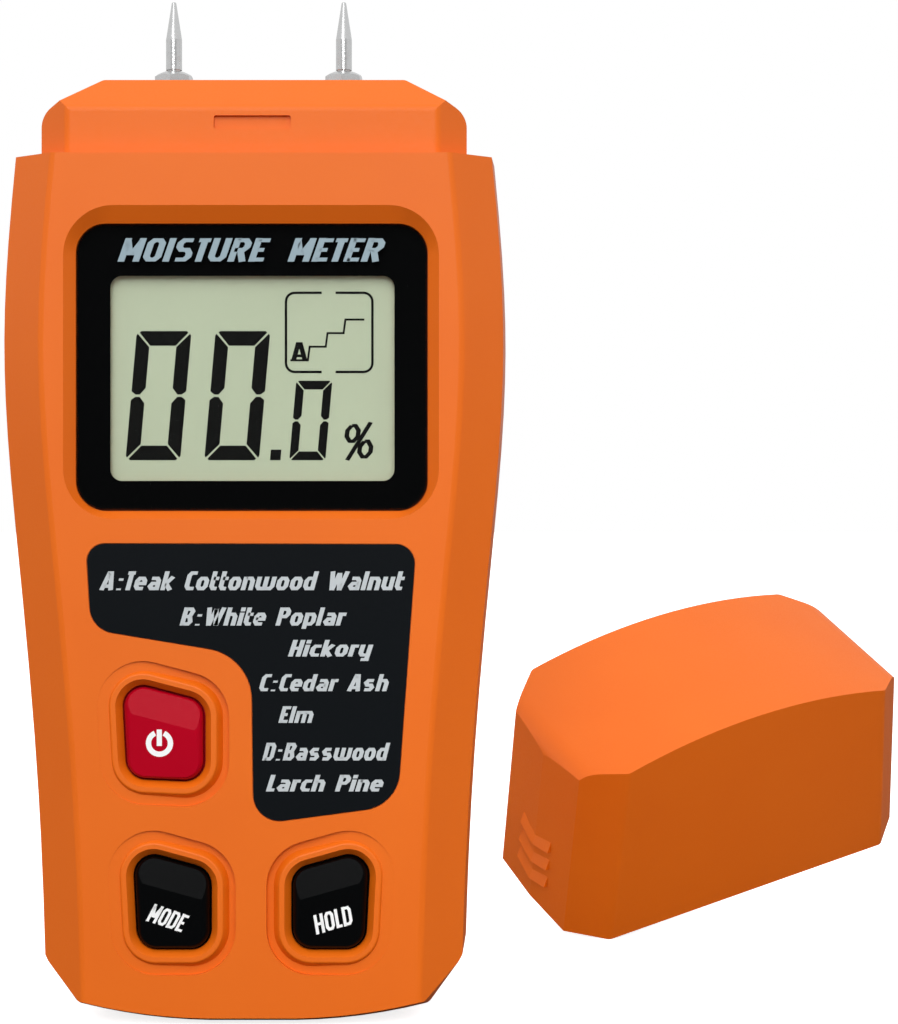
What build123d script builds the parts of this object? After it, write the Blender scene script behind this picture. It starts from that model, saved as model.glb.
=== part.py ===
"""Two-pin moisture meter for wood: a handheld case, standing on its end, with its pin cap set down behind it.

Millimetres. +Z runs up the case towards the pins, -Y points out of the display face and +X is to the
reader's right. The origin is the middle of the small flat that the case stands on.
"""

import os
from math import atan2, degrees

from build123d import *

os.makedirs("parts", exist_ok=True)

# ---- Case: driving dimensions -------------------------------------------------------------------
HALF_DEPTH = 15.9          # parting plane to the front face, and to the back face
WALL = 2.0
SHOULDER_Z = 118.6         # where the case stops and the narrower head begins
SIDE_CURVE = ((33.25, 118.6), (34.85, 93.5), (32.6, 60.5), (29.95, 27.5), (29.15, 6.0))  # half width, height
SIDE_DRAFT = 0.8           # how much narrower the case is at its front and back faces
CASE_CHAMFER = 5.4
CREASE_ROUND = 1.2
STAND_FLAT = 12.0          # width of the flat under the case
FOOT = (24.1, 2.45)        # where the curved end meets the slanting corner
CORNER = (29.4, 9.7)       # where the slanting corner meets the side
CORNER_LEAN = (33.4, 50.0)  # the side's line above that corner, just outside the side itself
CORNER_ROUND = 9.0
FOOT_ROUND = 1.5
FOOT_BEVEL = (1.1, 5.0)    # how far the end rises towards the front and back faces, over what depth

# ---- Head that the cap pushes over --------------------------------------------------------------
HEAD_HALF_WIDTH = 29.3
HEAD_HALF_DEPTH = 13.7
HEAD_TOP_Z = 129.4
HEAD_SHOULDER = ((29.3, 124.4), (20.8, 129.4))  # the slanting corner seen from the front
HEAD_SHOULDER_ROUND = 3.0
HEAD_CREASE_ROUND = 1.4
HEAD_SIDE_CHAMFER = 3.9
HEAD_TOP_CHAMFER = 4.3
CATCH_SIZE = (10.5, 1.85)  # recess that the cap's catch drops into
CATCH_DEPTH = 0.7
CATCH_Z = 123.0

# ---- Display ------------------------------------------------------------------------------------
LENS_SIZE = (47.8, 39.0)
LENS_Z = 89.5
LENS_THICK = 1.5
LENS_ROUND = 4.0
LENS_SET_BACK = 1.6        # lens face behind the case's front face
LENS_FLARE = (51.0, 42.6)  # the recess at the front face
LENS_FLARE_Z = 90.15
LENS_FLARE_ROUND = 6.8
WINDOW_SIZE = (38.8, 28.0)
WINDOW_Z = 88.05
WINDOW_ROUND = 1.6
GASKET_THICK = 0.2
LCD_SIZE = (44.0, 33.0, 2.8)

# ---- Label --------------------------------------------------------------------------------------
LABEL_CORNERS = ((-22.4, 65.5), (22.4, 65.4), (19.85, 30.0), (0.35, 27.4), (0.05, 50.3), (-21.7, 53.9))
LABEL_ROUNDS = (2.4, 2.6, 5.4, 3.6, 7.0, 3.6)
LABEL_THICK = 0.3

# ---- Keys ---------------------------------------------------------------------------------------
SLIM_KEY = ((-5.1, 6.65), (5.2, 3.8), (5.2, -6.65), (-4.4, -6.65))  # the leaning outline of a black key
WIDE_KEY = ((-5.4, 6.65), (5.5, 3.8), (5.5, -6.85), (-4.7, -6.4))   # and of the red one
KEY_ROUND = 2.6
KEY_GAP = 0.3              # between a key and its hole
KEY_PROUD = 0.3            # key face in front of the case
KEY_TRAVEL = 0.8
KEY_FLANGE = 1.3
KEY_RIDGE_UP = 1.2         # height of the ridge across a key's face above its middle
KEY_TOP_FALL = 8.5         # degrees that the face falls away above the ridge
KEY_LOW_FALL = 2.5         # and below it
KEY_EDGE_ROUND = 1.2
RIM_INNER = 1.15           # crest of the rim round each key, measured out from the key
RIM_OUTER = 1.85
RIM_FOOT = 2.7             # where the rim's outer slope ends
RIM_PROUD = 0.2
RIM_DEPTH = 1.1            # how deep the rim's slopes go below the case's front face
RIM_CREST_ROUND = 0.3
DISH_WIDTH = 3.6           # hollow outside the rim, deepest beside the case's middle
DISH_DEPTH = 1.1
KEYS = {                   # centre across, centre up, outline, mirrored
    "power": (-12.05, 40.15, WIDE_KEY, False),
    "mode": (-10.88, 17.2, SLIM_KEY, False),
    "hold": (10.88, 17.2, SLIM_KEY, True),
}

# ---- Electrode pins -----------------------------------------------------------------------------
PIN_SPACING = 24.0
PIN_RADIUS = 1.13
PIN_TIP_Z = 141.8
PIN_CONE_Z = 136.5
PIN_SHANK_Z = 132.2        # the plain shank starts here, above the nut
PIN_ROOT_RADIUS = 0.9      # the root that screws into the nut and the socket
PIN_TIP_RADIUS = 0.3
PIN_BASE_Z = 121.0
COLLAR_ACROSS_FLATS = 4.9
COLLAR_TURN = 24.0
COLLAR_HEIGHT = 2.7
COLLAR_DOME = 4.5          # radius that the nut's corners are turned to
SOCKET_RADIUS = 3.0
SOCKET_BASE_Z = 117.0
SOCKET_FLANGE_RADIUS = 4.2
SADDLE_Z = 122.2           # underside of the ribs that carry the sockets
SADDLE_THICK = 1.6
RUNNING_GAP = 0.04

# ---- Board --------------------------------------------------------------------------------------
BOARD_FRONT_Y = -7.0
BOARD_THICK = 1.6
BOARD_BACK_Y = BOARD_FRONT_Y + BOARD_THICK
BOARD_TOP_Z = 109.0
SWITCH_SIZE = 6.0
SWITCH_HEIGHT = 3.4
PLUNGER_RADIUS = 1.75
PLUNGER_TOP_Y = -11.7

# ---- Battery and its compartment ----------------------------------------------------------------
BATTERY_SIZE = (26.5, 17.5, 46.8)
BATTERY_BASE_Z = 11.9      # high enough for the door to swing past
BATTERY_MID_Y = 5.4
TERMINAL_SPACING = 12.7
WELL_HALF_WIDTH = 14.3
WELL_Z = (9.4, 65.6)
WELL_FLOOR_Y = -3.6
WELL_WALL = 1.2
DOOR_HALF_WIDTH = 15.0
DOOR_THICK = 1.5
DOOR_Z = (9.9, 66.9)
DOOR_GAP = 0.2
HINGE_RADIUS = 0.65
HINGE_Y = HALF_DEPTH - 0.85
HINGE_Z = 10.9
HINGE_REACH = 0.8          # how far each hinge pin goes into the case

# ---- Screws -------------------------------------------------------------------------------------
CASE_SCREWS = ((20.4, 9.6), (23.6, 113.2))  # distance from the middle, height; one on each side
BOSS_RADIUS = 2.6
SCREW_RADIUS = 1.2
SCREW_HEAD_RADIUS = 2.1
SCREW_HEAD_THICK = 1.4
SCREW_SEAT_Y = 11.9
SCREW_TIP_Y = -9.0
BOARD_SCREWS = ((-20.6, 62.0), (20.6, 62.0), (0.0, 28.4))

# ---- Cap ----------------------------------------------------------------------------------------
CAP_HEIGHT = 36.4
CAP_HALF_WIDTH = 32.9
CAP_TOP_HALF_WIDTH = 30.7
CAP_CROWN_END_Z = 31.2     # height of the crown where it meets the ends
CAP_CROWN_HALF = 5.6       # half width of the strip along the crown
CAP_BEVEL_DROP = 14.0      # crown down to where the long bevel meets the side
CAP_WALL = 1.9
CAP_END_ROUND = 4.5
CAP_PLACE = (69.5, 84.0)   # where the middle of the loose cap's mouth is
CAP_TURN = 27.4
CAP_TIP = 32.3             # the loose cap leans forward, on one corner of its mouth
RIB_COUNT = 3
RIB_PITCH = 3.5
RIB_HALF_LENGTH = 4.6
RIB_DIP = 1.3              # how far each grip rib dips in the middle
RIB_HEIGHT = 1.9
RIB_PROUD = 0.55
RIB_FIRST_Z = 5.0


# ---- Small helpers ------------------------------------------------------------------------------
def flat(points, radii=None):
    """A face in the plane y = 0 with straight sides through (x, z) points, its corners rounded."""
    corners = [(x, 0, z) for x, z in points]
    if radii is None:
        return make_face(Polyline(*corners, close=True))
    return make_face(FilletPolyline(*corners, radius=radii, close=True))


def rounded(width, height, z, radius, x=0.0):
    """A rectangle with rounded corners in the plane y = 0, centred at (x, z)."""
    w, h = width / 2, height / 2
    corners = ((x - w, z - h), (x + w, z - h), (x + w, z + h), (x - w, z + h))
    return flat(corners, radius)


def prism(face, y0, y1):
    """The face pushed through from y0 to y1."""
    return Pos(0, y0, 0) * extrude(face, amount=y1 - y0, dir=(0, 1, 0))


def block(x0, x1, y0, y1, z0, z1):
    """A box from its corners."""
    return Pos(x0, y0, z0) * Box(x1 - x0, y1 - y0, z1 - z0, align=(Align.MIN, Align.MIN, Align.MIN))


def rod_y(x, z, radius, y0, y1):
    """A round rod along Y."""
    low = min(y0, y1)
    return Pos(x, low, z) * Rot(-90, 0, 0) * Cylinder(
        radius, abs(y1 - y0), align=(Align.CENTER, Align.CENTER, Align.MIN)
    )


def rod_z(x, y, radius, z0, z1):
    """A round rod along Z."""
    return Pos(x, y, z0) * Cylinder(radius, z1 - z0, align=(Align.CENTER, Align.CENTER, Align.MIN))


def rod_x(y, z, radius, x0, x1):
    """A round rod along X."""
    return Pos(x0, y, z) * Rot(0, 90, 0) * Cylinder(
        radius, x1 - x0, align=(Align.CENTER, Align.CENTER, Align.MIN)
    )


def both_sides(make):
    """The sum of what make(side) returns for the left, -1, and the right, +1."""
    return make(-1) + make(1)


def edges_at(solid, axis, places, longer_than=0.0):
    """The edges of a solid whose middles lie on one of several planes across an axis."""
    found = []
    for edge in solid.edges():
        middle = getattr(edge.center(), axis)
        if any(abs(middle - place) < 0.05 for place in places) and edge.length > longer_than:
            found.append(edge)
    return found


def write(name, shape):
    """Writes one sub-part."""
    export_step(shape, f"parts/{name}.step")


# ---- Case and head forms ------------------------------------------------------------------------
def side_face(inset, y):
    """The case's tall front outline, sides only, at depth y."""
    half = [(x - inset - SIDE_DRAFT * abs(y) / HALF_DEPTH, z) for x, z in SIDE_CURVE]
    top, low = SHOULDER_Z + 4, -8.0
    half = [(half[0][0] - 0.4, top), *half, (half[-1][0] - 0.3, low)]
    right = Spline(*[(x, y, z) for x, z in half])
    left = Spline(*[(-x, y, z) for x, z in reversed(half)])
    foot = Line(right @ 1, left @ 0)
    brow = Line(left @ 1, right @ 0)
    return make_face([right, foot, left, brow])


def case_outline(inset):
    """The case's end and shoulder seen from the front, wide enough to leave its sides alone."""
    bow = (FOOT[0] - STAND_FLAT / 2) / 2 + STAND_FLAT / 2
    dip = 0.68
    side = FilletPolyline(
        (FOOT[0], 0, FOOT[1]), (CORNER[0], 0, CORNER[1]), (CORNER_LEAN[0], 0, CORNER_LEAN[1]), radius=CORNER_ROUND
    )
    half = [
        Line((0, 0, 0), (STAND_FLAT / 2, 0, 0)),
        ThreePointArc((STAND_FLAT / 2, 0, 0), (bow, 0, dip), (FOOT[0], 0, FOOT[1])),
        *side.edges(),
        Line((CORNER_LEAN[0], 0, CORNER_LEAN[1]), (45, 0, CORNER_LEAN[1] + 10)),
        Line((45, 0, CORNER_LEAN[1] + 10), (45, 0, SHOULDER_Z)),
        Line((45, 0, SHOULDER_Z), (0, 0, SHOULDER_Z)),
    ]
    right = make_face(half + [Line((0, 0, SHOULDER_Z), (0, 0, 0))])
    whole = right + mirror(right, about=Plane.YZ)
    feet = [v for v in whole.vertices() if abs(abs(v.X) - FOOT[0]) < 0.01 and v.Z < FOOT[1] + 1]
    whole = fillet(feet, FOOT_ROUND)
    return offset(whole, -inset) if inset else whole


def case_form(inset):
    """The case below its shoulder as a solid, shrunk by inset on every side."""
    reach = HALF_DEPTH - inset
    middle = side_face(inset, 0)
    form = loft([side_face(inset, -reach), middle], ruled=True)
    form += loft([middle, side_face(inset, reach)], ruled=True)
    size = CASE_CHAMFER - 0.586 * inset
    form = chamfer(edges_at(form, "Y", (-reach, reach), 100), size)
    if not inset:
        form = fillet(edges_at(form, "Y", (-reach, reach), 100), CREASE_ROUND)
    form = form & prism(case_outline(inset), -reach - 1, reach + 1)
    if not inset:
        form = form & foot_bevels()
    return form


def foot_bevels():
    """What the case's end keeps after it is bevelled towards the front and back faces."""
    rise, depth = FOOT_BEVEL
    near = HALF_DEPTH - depth
    keep = prism(case_outline(0), -near, near)
    for side in (-1, 1):
        edge = Pos(0, side * HALF_DEPTH, 0) * case_outline(rise)
        keep += loft([Pos(0, side * near, 0) * case_outline(0), edge], ruled=True)
    return keep + block(-45, 45, -HALF_DEPTH, HALF_DEPTH, SHOULDER_Z / 2, SHOULDER_Z)


def head_form(inset, low=SHOULDER_Z - 8):
    """The head as a solid, shrunk by inset on every side, running down into the case."""
    width, depth, top = HEAD_HALF_WIDTH - inset, HEAD_HALF_DEPTH - inset, HEAD_TOP_Z - inset
    form = block(-width, width, -depth, depth, low, top)
    sides = [e for e in edges_at(form, "Y", (-depth, depth)) if abs(e.center().X) > width - 0.1]
    form = chamfer(sides, HEAD_SIDE_CHAMFER - 0.586 * inset)
    brows = [e for e in edges_at(form, "Y", (-depth, depth)) if e.center().Z > top - 0.1]
    form = chamfer(brows, HEAD_TOP_CHAMFER - 0.586 * inset)
    (x0, z0), (x1, z1) = HEAD_SHOULDER
    corners = ((-x0, low - 9), (x0, low - 9), (x0, z0), (x1, z1), (-x1, z1), (-x0, z0))
    if inset:
        outline = offset(flat(corners), -inset)
    else:
        creases = [e for e in edges_at(form, "Y", (-depth, depth)) if e.center().Z > low + 1]
        form = fillet(creases, HEAD_CREASE_ROUND)
        outline = flat(corners, (1, 1, HEAD_SHOULDER_ROUND, 1.2, 1.2, HEAD_SHOULDER_ROUND))
    return form & prism(outline, -depth - 1, depth + 1)


# ---- Keys ---------------------------------------------------------------------------------------
def key_face(name, grow=0.0):
    """A key's outline on the front of the case, grown outwards."""
    across, up, corners, mirrored = KEYS[name]
    face = flat(corners, KEY_ROUND)
    if grow:
        face = offset(face, grow)
    if mirrored:
        face = mirror(face, about=Plane.YZ)
    return Pos(across, 0, up) * face


def key_dish(name):
    """What is hollowed out of the front round one key: deep beside the case's middle, and nothing outside."""
    across, _, corners, mirrored = KEYS[name]
    side = 1 if mirrored else -1
    reach = corners[1][0] + DISH_WIDTH
    lean = degrees(atan2(DISH_DEPTH, 2 * reach))
    air = Pos(across + side * reach, -HALF_DEPTH, 0) * Rot(0, 0, -side * lean) * Pos(0, -5, 60) * Box(90, 10, 200)
    return prism(key_face(name, DISH_WIDTH), -HALF_DEPTH - 1, -HALF_DEPTH + DISH_DEPTH + 0.2) & air


def key_rim(name):
    """The raised rim round a key's hole, sloping down on both sides of its crest."""
    deep, crest = -HALF_DEPTH + RIM_DEPTH, -HALF_DEPTH - RIM_PROUD
    hill = loft([Pos(0, deep, 0) * key_face(name, RIM_FOOT), Pos(0, crest, 0) * key_face(name, RIM_OUTER)])
    return fillet(edges_at(hill, "Y", (crest,)), RIM_CREST_ROUND)


def key_funnel(name):
    """The sloping mouth of a key's hole."""
    deep, crest = -HALF_DEPTH + RIM_DEPTH, -HALF_DEPTH - RIM_PROUD
    grow = (RIM_INNER - KEY_GAP) * (RIM_DEPTH + RIM_PROUD + 1) / (RIM_DEPTH + RIM_PROUD)
    return loft([Pos(0, deep, 0) * key_face(name, KEY_GAP), Pos(0, crest - 1, 0) * key_face(name, KEY_GAP + grow)])


def key_cap(name):
    """A moulded key: a flange behind the case wall, a body through the hole and a ridge near its top."""
    across, up, corners, mirrored = KEYS[name]
    face_y = -HALF_DEPTH - KEY_PROUD
    flange_y = -HALF_DEPTH + WALL + 0.2
    body = prism(key_face(name), face_y, flange_y + 0.5)
    # The face falls away on both sides of a ridge that runs with the slanting top edge.
    (left, high), (right, low) = corners[:2]
    slant = degrees(atan2(low - high, right - left))
    side = -1 if mirrored else 1
    ridge = Pos(across, face_y, up + KEY_RIDGE_UP) * Rot(0, -side * slant, 0)
    body = fillet(edges_at(body, "Y", (face_y,)), KEY_EDGE_ROUND)
    body -= ridge * Rot(-KEY_TOP_FALL, 0, 0) * Pos(0, -5, 10) * Box(40, 10, 20)
    body -= ridge * Rot(KEY_LOW_FALL, 0, 0) * Pos(0, -5, -10) * Box(40, 10, 20)
    flange = prism(key_face(name, KEY_FLANGE), flange_y, flange_y + 1.0)
    stem = rod_y(across, up, 2.0, flange_y + 0.5, PLUNGER_TOP_Y)
    return body + flange + stem


def switch_body(name):
    """The housing of a tactile switch, hollow for its plunger."""
    across, up, _, _ = KEYS[name]
    half = SWITCH_SIZE / 2
    top = BOARD_FRONT_Y - SWITCH_HEIGHT
    body = block(across - half, across + half, top, BOARD_FRONT_Y, up - half, up + half)
    body -= rod_y(across, up, PLUNGER_RADIUS + 0.1, top - 1, BOARD_FRONT_Y - 0.6)
    body -= rod_y(across, up, PLUNGER_RADIUS + 0.6, top + 0.6, BOARD_FRONT_Y - 0.6)
    return body


def switch_plunger(name):
    """The plunger that a key pushes into its switch."""
    across, up, _, _ = KEYS[name]
    foot = BOARD_FRONT_Y - SWITCH_HEIGHT + 0.65
    plunger = rod_y(across, up, PLUNGER_RADIUS, PLUNGER_TOP_Y, foot + 0.3)
    return plunger + rod_y(across, up, PLUNGER_RADIUS + 0.5, foot, foot + 0.5)


# ---- Shells -------------------------------------------------------------------------------------
def hollow_case():
    """Both shells in one, before they part."""
    outer = case_form(0) + head_form(0)
    inner = case_form(WALL) + head_form(WALL)
    return outer - inner


def socket_bores():
    """The holes that the two sockets pass through."""
    radius = SOCKET_RADIUS + RUNNING_GAP
    return both_sides(lambda s: rod_z(s * PIN_SPACING / 2, 0, radius, SADDLE_Z - 2, HEAD_TOP_Z + 1))


def front_shell(case):
    """The front half: display frame, key rims, label recess, bosses and board posts."""
    shell = case & block(-60, 60, -40, 0, -5, 140)
    inner_y = -HALF_DEPTH + WALL
    lens_y = -HALF_DEPTH + LENS_SET_BACK
    ledge_y = lens_y + LENS_THICK + GASKET_THICK
    # Display: a frame behind the wall, a flared recess in front and a ledge for the lens.
    frame = rounded(LENS_SIZE[0] + 3.6, LENS_SIZE[1] + 3.6, LENS_Z, LENS_ROUND + 1.8)
    shell += prism(frame, inner_y - 0.6, ledge_y + 1.2)
    mouth = Pos(0, -HALF_DEPTH - 0.001, 0) * rounded(*LENS_FLARE, LENS_FLARE_Z, LENS_FLARE_ROUND)
    seat = Pos(0, lens_y, 0) * rounded(LENS_SIZE[0] + 0.2, LENS_SIZE[1] + 0.2, LENS_Z, LENS_ROUND + 0.1)
    shell -= loft([mouth, seat])
    shell -= prism(rounded(LENS_SIZE[0] + 0.2, LENS_SIZE[1] + 0.2, LENS_Z, LENS_ROUND + 0.1), lens_y - 0.01, ledge_y)
    shell -= prism(rounded(WINDOW_SIZE[0] + 1, WINDOW_SIZE[1] + 1, WINDOW_Z, WINDOW_ROUND), ledge_y - 1, ledge_y + 3)
    # Label recess.
    shell -= prism(offset(flat(LABEL_CORNERS, LABEL_ROUNDS), 0.1), -HALF_DEPTH - 1, -HALF_DEPTH + LABEL_THICK)
    # Catch recess on the head.
    catch = rounded(*CATCH_SIZE, CATCH_Z, 0.3)
    shell -= prism(catch, -HEAD_HALF_DEPTH - 1, -HEAD_HALF_DEPTH + CATCH_DEPTH)
    # Keys.
    for name in KEYS:
        shell -= key_dish(name)
        shell += key_rim(name)
        shell -= key_funnel(name)
        shell -= prism(key_face(name, KEY_GAP), -HALF_DEPTH - 2, inner_y + 1)
    # Screw bosses, board posts and the rib under the sockets.
    for x, z in CASE_SCREWS:
        shell += both_sides(lambda s: rod_y(s * x, z, BOSS_RADIUS, inner_y - 0.5, -0.1))
        shell -= both_sides(lambda s: rod_y(s * x, z, SCREW_RADIUS + RUNNING_GAP, SCREW_TIP_Y - 1, 1))
    for x, z in BOARD_SCREWS:
        shell += rod_y(x, z, 2.2, inner_y - 0.5, BOARD_FRONT_Y)
        shell -= rod_y(x, z, 0.95, BOARD_FRONT_Y - 4, BOARD_FRONT_Y + 1)
    shell += block(-18, 18, -HEAD_HALF_DEPTH + WALL - 0.3, -0.05, SADDLE_Z, SADDLE_Z + SADDLE_THICK)
    return shell - socket_bores()


def door_opening():
    """What the battery door needs cut out of the back shell."""
    low, high = DOOR_Z
    floor_y = HALF_DEPTH - DOOR_THICK - 0.1
    hole = block(
        -DOOR_HALF_WIDTH - DOOR_GAP, DOOR_HALF_WIDTH + DOOR_GAP,
        floor_y, HALF_DEPTH + 1, low - 0.55, high + DOOR_GAP,
    )
    hole += rod_x(HINGE_Y, HINGE_Z, 1.55, -DOOR_HALF_WIDTH - DOOR_GAP, DOOR_HALF_WIDTH + DOOR_GAP)
    reach = DOOR_HALF_WIDTH + HINGE_REACH + 0.15
    hole += rod_x(HINGE_Y, HINGE_Z, HINGE_RADIUS + RUNNING_GAP, -reach, reach)
    scoop = Pos(0, HALF_DEPTH + 5.2, high + 1.5) * Sphere(6.6)
    return hole + scoop


def back_shell(case):
    """The back half: battery well, screw posts and the rib over the sockets."""
    shell = case & block(-60, 60, 0, 40, -5, 140)
    low, high = WELL_Z
    outer = block(
        -WELL_HALF_WIDTH - WELL_WALL, WELL_HALF_WIDTH + WELL_WALL,
        WELL_FLOOR_Y - 0.8, HALF_DEPTH - WALL + 0.5, low - WELL_WALL, high + WELL_WALL,
    )
    shell += outer
    for x, z in CASE_SCREWS:
        shell += both_sides(lambda s: rod_y(s * x, z, BOSS_RADIUS + 0.2, 0, HALF_DEPTH - 1))
        shell -= both_sides(lambda s: rod_y(s * x, z, SCREW_RADIUS + 0.2, -1, HALF_DEPTH + 1))
        shell -= both_sides(lambda s: rod_y(s * x, z, SCREW_HEAD_RADIUS + 0.2, SCREW_SEAT_Y, HALF_DEPTH + 1))
    shell -= block(-WELL_HALF_WIDTH, WELL_HALF_WIDTH, WELL_FLOOR_Y, HALF_DEPTH, low, high)
    shell -= block(-5.5, 5.5, 2.5, 8, high - 1, high + WELL_WALL + 1)
    shell -= door_opening()
    shell += block(-18, 18, 0.05, HEAD_HALF_DEPTH - WALL + 0.3, SADDLE_Z, SADDLE_Z + SADDLE_THICK)
    return shell - socket_bores()


def battery_door():
    """The door on the back, which swings out on two pins at its foot."""
    low, high = DOOR_Z
    panel = block(-DOOR_HALF_WIDTH, DOOR_HALF_WIDTH, HALF_DEPTH - DOOR_THICK, HALF_DEPTH, low, high)
    foot = [e for e in panel.edges() if e.center().Z < low + 0.1 and e.length > 20]
    panel = fillet(foot, 0.7)
    panel += rod_x(HINGE_Y, HINGE_Z, HINGE_RADIUS, -DOOR_HALF_WIDTH - HINGE_REACH, DOOR_HALF_WIDTH + HINGE_REACH)
    # Two slots free a springy tongue, and grooves on it give the thumb a hold.
    for side in (-1, 1):
        x = side * 5.2
        panel -= block(x - 0.5, x + 0.5, HALF_DEPTH - 3, HALF_DEPTH + 1, high - 11, high + 1)
    for i in range(4):
        z = high - 2.2 - 2.0 * i
        panel -= block(-3.6, 3.6, HALF_DEPTH - 0.4, HALF_DEPTH + 1, z - 0.45, z + 0.45)
    return panel


# ---- Display pieces -----------------------------------------------------------------------------
def display_lens():
    """The clear window that covers the display."""
    front = -HALF_DEPTH + LENS_SET_BACK
    lens = prism(rounded(*LENS_SIZE, LENS_Z, LENS_ROUND), front, front + LENS_THICK)
    return chamfer(edges_at(lens, "Y", (front,)), 0.25)


def lens_gasket():
    """The black adhesive frame behind the lens."""
    front = -HALF_DEPTH + LENS_SET_BACK + LENS_THICK
    ring = rounded(*LENS_SIZE, LENS_Z, LENS_ROUND) - rounded(*WINDOW_SIZE, WINDOW_Z, WINDOW_ROUND)
    return prism(ring, front, front + GASKET_THICK)


LCD_FRONT_Y = -HALF_DEPTH + LENS_SET_BACK + LENS_THICK + GASKET_THICK + 1.2 + 0.1


def lcd_panel():
    """The liquid-crystal glass."""
    width, height, thick = LCD_SIZE
    return prism(rounded(width, height, WINDOW_Z, 0.4), LCD_FRONT_Y, LCD_FRONT_Y + thick)


def lcd_holder():
    """The frame that clips the glass to the board."""
    width, height, _ = LCD_SIZE
    ring = rounded(width + 3.4, height + 3.4, WINDOW_Z, 1.2) - rounded(width + 0.3, height + 0.3, WINDOW_Z, 0.5)
    return prism(ring, LCD_FRONT_Y + 0.2, BOARD_FRONT_Y)


def contact_strips():
    """The two rubber contact strips between the glass and the board."""
    width, height, thick = LCD_SIZE
    strips = None
    for side in (-1, 1):
        z = WINDOW_Z + side * (height / 2 - 1.5)
        strip = block(-width / 2 + 2, width / 2 - 2, LCD_FRONT_Y + thick, BOARD_FRONT_Y, z - 0.9, z + 0.9)
        strips = strip if strips is None else strips + strip
    return strips


# ---- Board and what is on it --------------------------------------------------------------------
def main_board():
    """The circuit board, narrow at its foot to clear the lower bosses."""
    outline = flat(
        ((-16.8, 5.5), (16.8, 5.5), (16.8, 24), (23.6, 30), (23.6, BOARD_TOP_Z), (-23.6, BOARD_TOP_Z),
         (-23.6, 30), (-16.8, 24)), 1.0
    )
    board = prism(outline, BOARD_FRONT_Y, BOARD_BACK_Y)
    for x, z in BOARD_SCREWS:
        board -= rod_y(x, z, 1.2, BOARD_FRONT_Y - 1, BOARD_BACK_Y + 1)
    return board


def on_board(x, z, width, height, thick):
    """A chip body on the back of the board."""
    return block(x - width / 2, x + width / 2, BOARD_BACK_Y, BOARD_BACK_Y + thick, z - height / 2, z + height / 2)


def chip_resistors():
    """A row of small resistors."""
    return Compound([on_board(-15 + 3.2 * i, 99.5, 1.25, 2.0, 0.5) for i in range(9)])


def chip_capacitors():
    """Small ceramic capacitors."""
    return Compound([on_board(-12 + 5.0 * i, 71.5, 1.6, 0.9, 0.8) for i in range(6)])


def controller_chip():
    """The microcontroller with its row of legs on two sides."""
    chip = on_board(-5, 85, 10, 10, 1.5)
    for i in range(8):
        z = 85 - 4.2 + 1.2 * i
        chip += on_board(-5, z, 13, 0.5, 0.5)
    return chip


def signal_chip():
    """The amplifier that reads the pins."""
    chip = on_board(10, 88, 5, 4, 1.4)
    for i in range(4):
        chip += on_board(10 - 1.9 + 1.27 * i, 88, 0.45, 6.2, 0.4)
    return chip


def reservoir_capacitor():
    """The round electrolytic capacitor, lying down."""
    radius = 2.5
    body = rod_x(BOARD_BACK_Y + radius, 77.5, radius, 6, 15)
    return body


# ---- Pins ---------------------------------------------------------------------------------------
def probe_pin(side):
    """A needle: a thinner root, a plain shank and a long point with a blunted tip."""
    x = side * PIN_SPACING / 2
    taper = Cone(PIN_RADIUS, PIN_TIP_RADIUS, PIN_TIP_Z - PIN_CONE_Z, align=(Align.CENTER, Align.CENTER, Align.MIN))
    pin = rod_z(x, 0, PIN_ROOT_RADIUS, PIN_BASE_Z, PIN_SHANK_Z + 0.1)
    pin += rod_z(x, 0, PIN_RADIUS, PIN_SHANK_Z, PIN_CONE_Z) + Pos(x, 0, PIN_CONE_Z) * taper
    tip = [e for e in pin.edges() if e.center().Z > PIN_TIP_Z - 0.01]
    return fillet(tip, PIN_TIP_RADIUS * 0.6)


def pin_collar(side):
    """The hexagon nut at the foot of a pin, with its corners turned off."""
    radius = COLLAR_ACROSS_FLATS / 2
    nut = extrude(RegularPolygon(radius, 6, major_radius=False), amount=COLLAR_HEIGHT)
    dome = Pos(0, 0, COLLAR_HEIGHT - COLLAR_DOME) * Sphere(COLLAR_DOME)
    nut = nut & dome & block(-5, 5, -5, 5, 0, COLLAR_HEIGHT)
    nut -= rod_z(0, 0, PIN_ROOT_RADIUS + RUNNING_GAP / 2, -1, COLLAR_HEIGHT + 1)
    return Pos(side * PIN_SPACING / 2, 0, HEAD_TOP_Z + RUNNING_GAP) * Rot(0, 0, COLLAR_TURN) * nut


def pin_socket(side):
    """The brass socket that a pin screws into, held by its flange under the head's top."""
    x = side * PIN_SPACING / 2
    flange_low = SADDLE_Z + SADDLE_THICK + 0.05
    socket = rod_z(x, 0, SOCKET_RADIUS, SOCKET_BASE_Z, HEAD_TOP_Z)
    socket += rod_z(x, 0, SOCKET_FLANGE_RADIUS, flange_low, HEAD_TOP_Z - WALL - 0.05)
    return socket - rod_z(x, 0, PIN_ROOT_RADIUS + RUNNING_GAP / 2, PIN_BASE_Z - 0.5, HEAD_TOP_Z + 1)


def wire(points, bend, radius):
    """An insulated wire along a bent path."""
    path = FilletPolyline(*points, radius=bend)
    start = Plane(origin=path @ 0, z_dir=path % 0)
    return sweep(start * Circle(radius), path=path)


def pin_lead(side):
    """The wire from a socket to the board."""
    x = side * PIN_SPACING / 2
    return wire(((x, 0, SOCKET_BASE_Z), (x, 0, 106), (x, BOARD_BACK_Y, 106)), 3.0, 0.6)


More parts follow.
